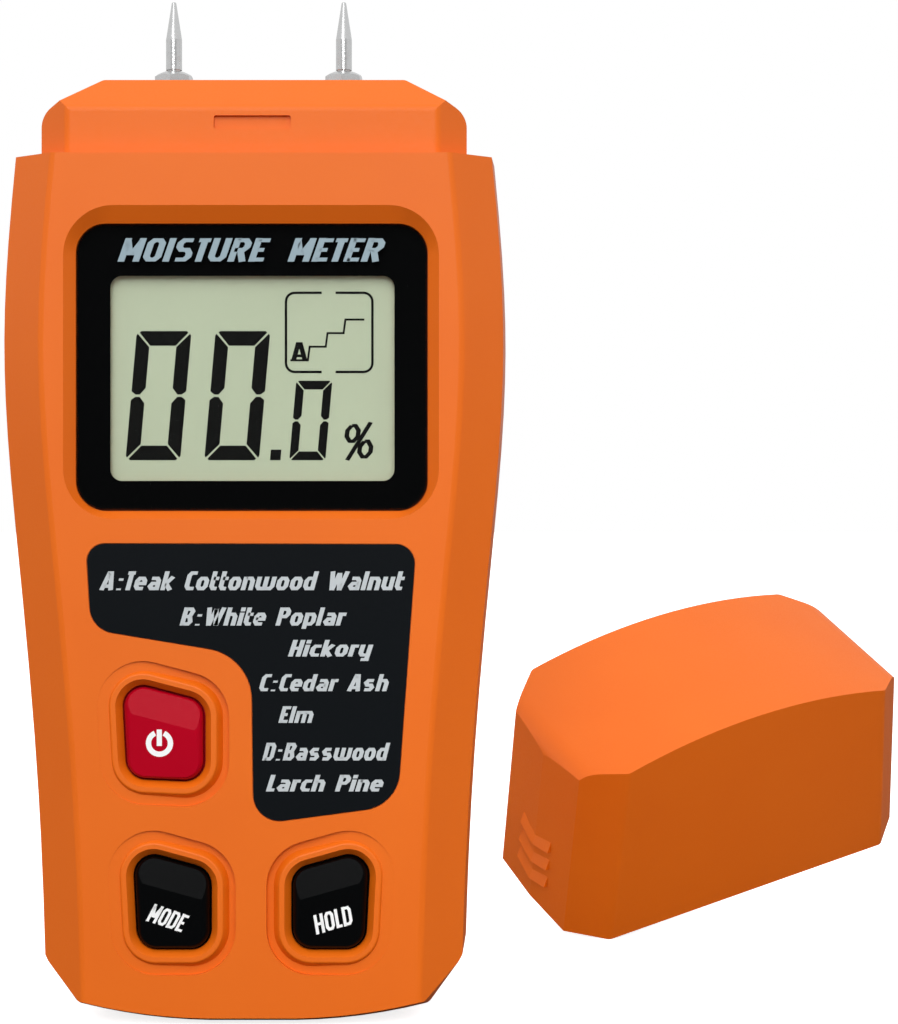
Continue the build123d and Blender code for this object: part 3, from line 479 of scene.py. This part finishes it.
def zero_tree():
    """Mirrors a quarter of a zero into a whole one, and leans it."""
    tree, group, output = tree_with("segment zero", {
        "Width": "NodeSocketFloat", "Height": "NodeSocketFloat", "Lean": "NodeSocketFloat",
        "Material": "NodeSocketMaterial",
    })
    whole = group.outputs["Geometry"]
    for label, axis in (("Width", "X"), ("Height", "Z")):
        shift = node(tree, "ShaderNodeCombineXYZ", {axis: group.outputs[label]})
        turned_over = node(
            tree, "GeometryNodeTransform", {"Geometry": whole, "Translation": shift.outputs["Vector"]},
            Scale=(-1.0 if axis == "X" else 1.0, 1.0, -1.0 if axis == "Z" else 1.0),
        )
        flipped = node(tree, "GeometryNodeFlipFaces", {"Mesh": turned_over.outputs["Geometry"]})
        both = node(tree, "GeometryNodeJoinGeometry")
        tree.links.new(flipped.outputs["Mesh"], both.inputs["Geometry"])
        tree.links.new(whole, both.inputs["Geometry"])
        whole = both.outputs["Geometry"]
    place = node(tree, "GeometryNodeInputPosition")
    parts = node(tree, "ShaderNodeSeparateXYZ", {"Vector": place.outputs["Position"]})
    sources = {0: parts.outputs["Z"], 1: group.outputs["Lean"]}
    lean = node(tree, "ShaderNodeMath", sources, operation="MULTIPLY")
    offset = node(tree, "ShaderNodeCombineXYZ", {"X": lean.outputs["Value"]})
    leaning = node(tree, "GeometryNodeSetPosition", {"Geometry": whole, "Offset": offset.outputs["Vector"]})
    return finish_tree(tree, group, output, leaning.outputs["Geometry"])


def row_tree():
    """Repeats a piece in a straight row."""
    tree, group, output = tree_with("straight row", {
        "Count": "NodeSocketInt", "Step": "NodeSocketVector", "Material": "NodeSocketMaterial",
    })
    line = node(tree, "GeometryNodeMeshLine",
                {"Count": group.outputs["Count"], "Offset": group.outputs["Step"]})
    copies = node(tree, "GeometryNodeInstanceOnPoints",
                  {"Points": line.outputs["Mesh"], "Instance": group.outputs["Geometry"]})
    return finish_tree(tree, group, output, copies.outputs["Instances"])


def grown(name, mesh, tree, place, finish, body, **inputs):
    """Runs a tree on a mesh, moves the result to place in millimetres and keeps it as a plain mesh."""
    seed = bpy.data.objects.new(name + " seed", mesh)
    bpy.context.collection.objects.link(seed)
    modifier = seed.modifiers.new("tree", "NODES")
    modifier.node_group = tree
    inputs["Material"] = finish
    for item in tree.interface.items_tree:
        if item.in_out == "INPUT" and item.name in inputs:
            modifier[item.identifier] = inputs[item.name]
    result = bpy.data.meshes.new_from_object(seed.evaluated_get(bpy.context.evaluated_depsgraph_get()))
    result.name = name
    bpy.data.objects.remove(seed)
    result.transform(Matrix.Translation(Vector(place) * MM))
    return piece(name, result, finish, body)


segment_zero, straight_row = zero_tree(), row_tree()
print("trees:", segment_zero.name, "and", straight_row.name)

# %% [markdown]
# ## The reading
#
# The display reads zero: two tall figures, a point and a short one, with a per cent sign. Segments have
# mitred ends with hairline gaps between them. The middle bar of a zero is off, so the upright bars end
# in points above and below it.

# %% Segments of the reading
panel_y = surface("lcd_panel")(0, 88)
SLANT = 0.088              # how far a figure leans for each unit of height


def quarter_zero(width, height, bar, thick, gap):
    """The lower left quarter of a zero. Bar is the width of its upright, and thick the height of its foot."""
    cut, g, middle = 0.28 * bar, gap / 2, height / 2
    foot = [(cut + g, 0), (width / 2, 0), (width / 2, thick), (bar + g, thick),
            (cut * 0.4 + 2 * g, cut * 0.4)]
    upright = [(0, cut + g), (cut * 0.3, cut * 0.5 + g), (bar, thick + 2 * g), (bar, middle - 0.55 * bar),
               (bar * 0.62, middle - 1.6 * g), (0.3 * bar, middle - 1.6 * g), (0, middle - 0.32 * bar)]
    bm = bmesh.new()
    slab(bm, foot, lambda x, z: panel_y)
    slab(bm, upright, lambda x, z: panel_y)
    mesh = bpy.data.meshes.new("quarter zero")
    bm.to_mesh(mesh)
    bm.free()
    return mesh


figures = {                # left edge, width, height, width of an upright, height of a foot, gap
    "tens": (-17.5, 7.5, 17.7, 1.9, 2.0, 0.2),
    "units": (-6.7, 7.5, 17.7, 1.9, 2.0, 0.2),
    "tenths": (4.95, 4.95, 10.9, 1.15, 1.2, 0.14),
}
FOOT_Z = 76.9              # foot of the figures
for key, (left, width, height, bar, thick, gap) in figures.items():
    quarter = quarter_zero(width, height, bar, thick, gap)
    grown("lcd_figure_" + key, quarter, segment_zero, (left, 0, FOOT_Z), lcd_ink, "case",
          Width=width * MM, Height=height * MM, Lean=SLANT)
point = [(2.3, FOOT_Z), (3.75, FOOT_Z), (3.88, FOOT_Z + 1.45), (2.43, FOOT_Z + 1.45)]
percent = lettering("%", (12.5, 16.5, FOOT_Z, 82.1), 0.5, lean=0.1)
printed("lcd_point_and_percent", [point, *percent], "lcd_panel", lcd_ink, "case")
print("figures:", len(figures))

# %% [markdown]
# ## Group icon
#
# Above the small figure, a rounded box that is open in the middle of its top and bottom holds a flight
# of steps, with the letter of the chosen wood group at their foot.

# %% Icon of the wood group
left, right, low, high, corner = 4.5, 16.35, 89.0, 99.85, 1.2
icon = []
for half, edge, gap_x in ((-1, left, 9.4), (1, right, 11.3)):
    middle = edge - half * corner
    lower = arc(middle, low + corner, corner, 270, 270 + half * 90, 6)
    upper = arc(middle, high - corner, corner, 90 - half * 90, 90, 6)
    icon += ribbon([(gap_x, low), *lower, *upper, (gap_x, high)], 0.34)
RUN, RISE = 2.45, 1.86     # of one step
steps = [(5.1, 90.6)]
for i in range(4):
    x, z = 7.5 + RUN * i, 90.6 + RISE * i
    steps += [(x, z), (x + 0.25, z + RISE)] if i < 3 else [(x + 0.4, z)]
icon += ribbon(steps, 0.28)
icon += lettering("A", (5.25, 7.4, 90.7, 93.1), 0.9, lean=0.0)
printed("lcd_group_icon", icon, "lcd_panel", lcd_ink, "case")
print("icon of", len(icon), "plates")

# %% [markdown]
# ## Printing on the keys
#
# The two black keys carry their names, tilted with their slanting top edges, and the red key carries
# the usual power symbol: a ring with a gap at the top and a bar in the gap.

# %% Key symbols
mode = lettering("MODE", (-13.99, -8.55, 13.45, 16.02), 0.8, lean=0.16, turn=-18.8)
printed("mode_print", mode, "mode_key", key_ink, "mode_button")
hold = lettering("HOLD", (8.41, 13.83, 13.18, 15.82), 0.8, lean=0.1, turn=16.0)
printed("hold_print", hold, "hold_key", key_ink, "hold_button")
POWER_X, POWER_Z = -12.4, 38.45
ring = ribbon(arc(POWER_X, POWER_Z, 1.49, 114, 426, 28), 0.72)
bar = ribbon([(POWER_X - 0.02, POWER_Z - 0.37), (POWER_X - 0.02, POWER_Z + 1.87)], 0.7)
printed("power_symbol", ring + bar, "power_key", key_ink, "power_button")
print("keys printed")

# %% [markdown]
# ## Small repeated details
#
# Three raised arrows on the battery door show which way it opens, and the chip resistors on the board
# have tinned ends. Each is one small mesh that the row tree repeats.


# %% Arrows and tinned ends
def box_mesh(x0, x1, y0, y1, z0, z1):
    """A box as a mesh, from its corners in millimetres."""
    bm = bmesh.new()
    bmesh.ops.create_cube(bm, size=1.0)
    for v in bm.verts:
        high = [c > 0 for c in v.co]
        v.co = ((x0, x1)[high[0]] * MM, (y0, y1)[high[1]] * MM, (z0, z1)[high[2]] * MM)
    mesh = bpy.data.meshes.new("box")
    bm.to_mesh(mesh)
    bm.free()
    return mesh


def arrow_mesh(half, tall, proud):
    """A low triangular ridge that points up, standing out of a face towards +Y."""
    bm = bmesh.new()
    corners = [(-half, 0.0), (0.0, tall), (half, 0.0)]
    base = [bm.verts.new((x * MM, -0.02 * MM, z * MM)) for x, z in corners]
    top = [bm.verts.new((0.8 * x * MM, proud * MM, (0.12 * tall + 0.76 * z) * MM)) for x, z in corners]
    bm.faces.new(top)
    bm.faces.new(base[::-1])
    for i in range(3):
        j = (i + 1) % 3
        bm.faces.new((top[j], top[i], base[i], base[j]))
    mesh = bpy.data.meshes.new("arrow")
    bm.to_mesh(mesh)
    bm.free()
    return mesh


door_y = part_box("battery_door")[1][1] / MM
grown("door_arrows", arrow_mesh(2.6, 2.4, 0.3), straight_row, (0, door_y, 40.0), orange_abs, "battery_door",
      Count=3, Step=(0.0, 0.0, 4.0 * MM))
board_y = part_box("main_board")[1][1] / MM
RESISTOR_Z = 99.5          # middle of the row of resistors
for side in (-1, 1):
    name = "resistor_ends_" + ("low" if side < 0 else "high")
    end = box_mesh(-0.65, 0.65, -0.01, 0.53, -0.18, 0.18)
    grown(name, end, straight_row, (-15.0, board_y, RESISTOR_Z + side * 0.85), can_metal, "case",
          Count=9, Step=(3.2 * MM, 0.0, 0.0))
print("repeated details added")

# %% [markdown]
# ## Floor and sky
#
# The meter stands on a white floor under a white sky, so no horizon shows. The camera sees both as
# plain white. The meter itself sees something else, as in a real studio: a darker floor, because a
# white one would wash out the keys and the lower half of the case, and a dark patch low down round the
# camera, which is what the black window mirrors.

# %% Floor and sky
bm = bmesh.new()
corners = [(-6.0, -3.0, 0.0), (6.0, -3.0, 0.0), (6.0, 9.0, 0.0), (-6.0, 9.0, 0.0)]
bm.faces.new([bm.verts.new(corner) for corner in corners])
mesh = bpy.data.meshes.new("floor")
bm.to_mesh(mesh)
bm.free()
floor = bpy.data.objects.new("floor", mesh)
bpy.context.collection.objects.link(floor)
paper, tree, output = material("white paper, dark to all but the camera")
path = node(tree, "ShaderNodeLightPath")
lit = node(tree, "ShaderNodeBsdfDiffuse", Color=colour("#F4F4F4"))
glow = node(tree, "ShaderNodeEmission", Color=colour("#FFFFFF"), Strength=0.8)
seen = node(tree, "ShaderNodeAddShader", {0: lit.outputs["BSDF"], 1: glow.outputs["Emission"]})
unseen = node(tree, "ShaderNodeBsdfDiffuse", Color=colour("#6A6866"))
either = node(tree, "ShaderNodeMixShader",
              {0: path.outputs["Is Camera Ray"], 1: unseen.outputs["BSDF"], 2: seen.outputs["Shader"]})
tree.links.new(either.outputs["Shader"], output.inputs["Surface"])
mesh.materials.append(paper)

world = bpy.data.worlds.new("white studio, dark round the camera")
world.use_nodes = True
tree = world.node_tree
sky = tree.nodes["Background"]
direction = node(tree, "ShaderNodeTexCoord")
towards = node(tree, "ShaderNodeSeparateXYZ", {"Vector": direction.outputs["Generated"]})
DARK = 0.03                # brightness of the patch round the camera
behind = node(tree, "ShaderNodeMapRange", {"Value": towards.outputs["Y"]}, interpolation_type="SMOOTHSTEP",
              From_Min=-0.93, From_Max=-0.62, To_Min=DARK, To_Max=1.0)
over = node(tree, "ShaderNodeMapRange", {"Value": towards.outputs["Z"]}, interpolation_type="SMOOTHSTEP",
            From_Min=0.10, From_Max=0.16, To_Min=DARK, To_Max=1.0)
open_side = node(tree, "ShaderNodeMath", {0: behind.outputs["Result"], 1: over.outputs["Result"]},
                 operation="MAXIMUM")
above = node(tree, "ShaderNodeMapRange", {"Value": towards.outputs["Z"]},
             From_Min=0.0, From_Max=1.0, To_Min=0.75, To_Max=0.85)
shaded = node(tree, "ShaderNodeMath", {0: open_side.outputs["Value"], 1: above.outputs["Result"]},
              operation="MULTIPLY")
path = node(tree, "ShaderNodeLightPath")
strength = node(tree, "ShaderNodeMath", {0: shaded.outputs["Value"], 1: path.outputs["Is Camera Ray"]},
                operation="MAXIMUM")
tree.links.new(strength.outputs["Value"], sky.inputs["Strength"])
sky.inputs["Color"].default_value = (1.0, 1.0, 1.0, 1.0)
bpy.context.scene.world = world
print("floor and sky:", paper.name, "/", world.name)

# %% [markdown]
# ## Lamps
#
# A key light high on the left, a light in front and a small softbox for the needles to mirror give the
# case an even light that falls off a little towards its foot. Two narrow spots fill the sides of the
# cap without reaching the case. The lamps are kept out of rays that have been through the window: such
# a ray meets a lamp only by luck, and would leave bright specks on the display.


# %% Lamps
CASE_MIDDLE = (0.0, 0.0, 0.09)
CAP_MIDDLE = (0.068, 0.075, 0.03)


def place_lamp(name, light, place, target, mirrored):
    """Puts a lamp at place, facing target. If it isn't mirrored, glossy parts don't show it."""
    made = bpy.data.objects.new(name, light)
    made.location = place
    made.visible_glossy = mirrored
    made.visible_transmission = False
    made.rotation_euler = (Vector(target) - Vector(place)).to_track_quat("-Z", "Y").to_euler()
    bpy.context.collection.objects.link(made)


def area_lamp(name, place, target, size, power, mirrored=True):
    """A square area lamp."""
    light = bpy.data.lights.new(name, "AREA")
    light.size = size
    light.energy = power
    place_lamp(name, light, place, target, mirrored)


def cap_spot(name, place, power):
    """A narrow spot on the loose cap that misses the meter."""
    light = bpy.data.lights.new(name, "SPOT")
    light.spot_size = math.radians(9.0)
    light.spot_blend = 0.3
    light.shadow_soft_size = 0.05
    light.energy = power
    place_lamp(name, light, place, CAP_MIDDLE, mirrored=False)


area_lamp("key light", (-0.2, -0.75, 0.85), CASE_MIDDLE, 0.5, 2.2)
area_lamp("softbox for the needles", (-0.08, -1.2, 0.42), CASE_MIDDLE, 0.26, 2.0)
area_lamp("front light", (0.06, -0.8, 0.42), CASE_MIDDLE, 0.5, 3.4, mirrored=False)
cap_spot("cap spot, left", (-0.6, 0.1, 0.12), 7.0)
cap_spot("cap spot, right", (0.36, -0.8, 0.1), 7.5)
print("lamps:", len(bpy.data.lights))

# %% [markdown]
# ## Camera
#
# The camera looks straight along +Y, level with the middle of the case and to the right of its centre
# line, which leaves room in the picture for the cap. Its lens is long for its sensor, so the case keeps
# its outline with little perspective.

# %% Camera
EYE = Vector((26.85, -395.9, 69.8)) * MM
camera = bpy.data.cameras.new("camera")
camera.sensor_width = 36.0
camera.sensor_fit = "AUTO"
camera.lens = 98.5
camera.clip_start = 0.01
eye = bpy.data.objects.new("camera", camera)
eye.location = EYE
eye.rotation_euler = (math.radians(90), 0, 0)
bpy.context.collection.objects.link(eye)
bpy.context.scene.camera = eye
bpy.context.scene.view_settings.view_transform = "Standard"
print("camera", round(-EYE.y, 3), "m in front of the parting plane")
